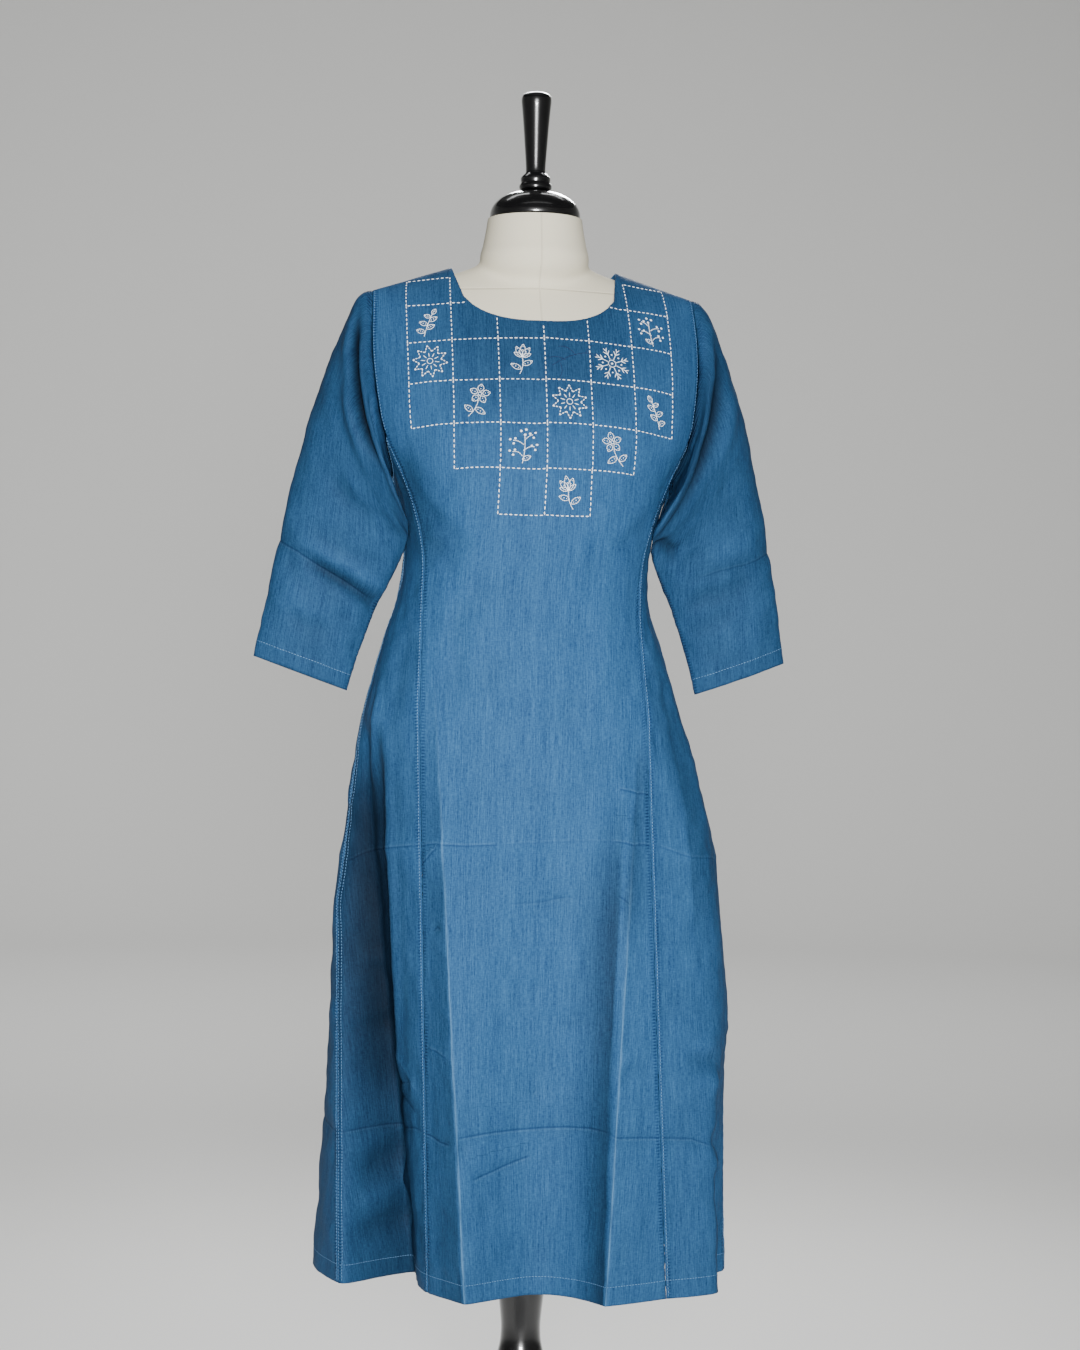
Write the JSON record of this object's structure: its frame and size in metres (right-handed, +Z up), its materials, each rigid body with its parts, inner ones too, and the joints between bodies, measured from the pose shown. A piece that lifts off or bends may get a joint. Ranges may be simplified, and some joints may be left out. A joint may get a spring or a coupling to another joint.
{
  "type": "kurti on dress form",
  "caption": "A-line denim kurti with three-quarter sleeves and a round neck, worn by a limbless dress form on a turned stand.",
  "frame": {"origin": "centre of the underside of the base, on the floor, under the pole's axis", "axes": "+Z up the pole, front of the garment faces -Y, the wearer's left is +X"},
  "size_m": [0.602, 0.38, 1.596],
  "materials": {
    "denim": "light indigo denim, softly lustrous, with fine upright slubs",
    "form_linen": "off-white linen stretched over the form, matt",
    "black_wood": "black lacquer on turned wood, glossy"
  },
  "bodies": {
    "root": {"front_centre_panel": "denim", "front_side_panel_left": "denim", "front_side_panel_right": "denim", "back_centre_panel": "denim", "back_side_panel_left": "denim", "back_side_panel_right": "denim", "sleeve_left": "denim", "sleeve_right": "denim", "form_torso": "form_linen", "neck_cap": "black_wood", "cap_handle": "black_wood", "stand_pole": "black_wood", "stand_base": "black_wood"}
  },
  "joints": []
}
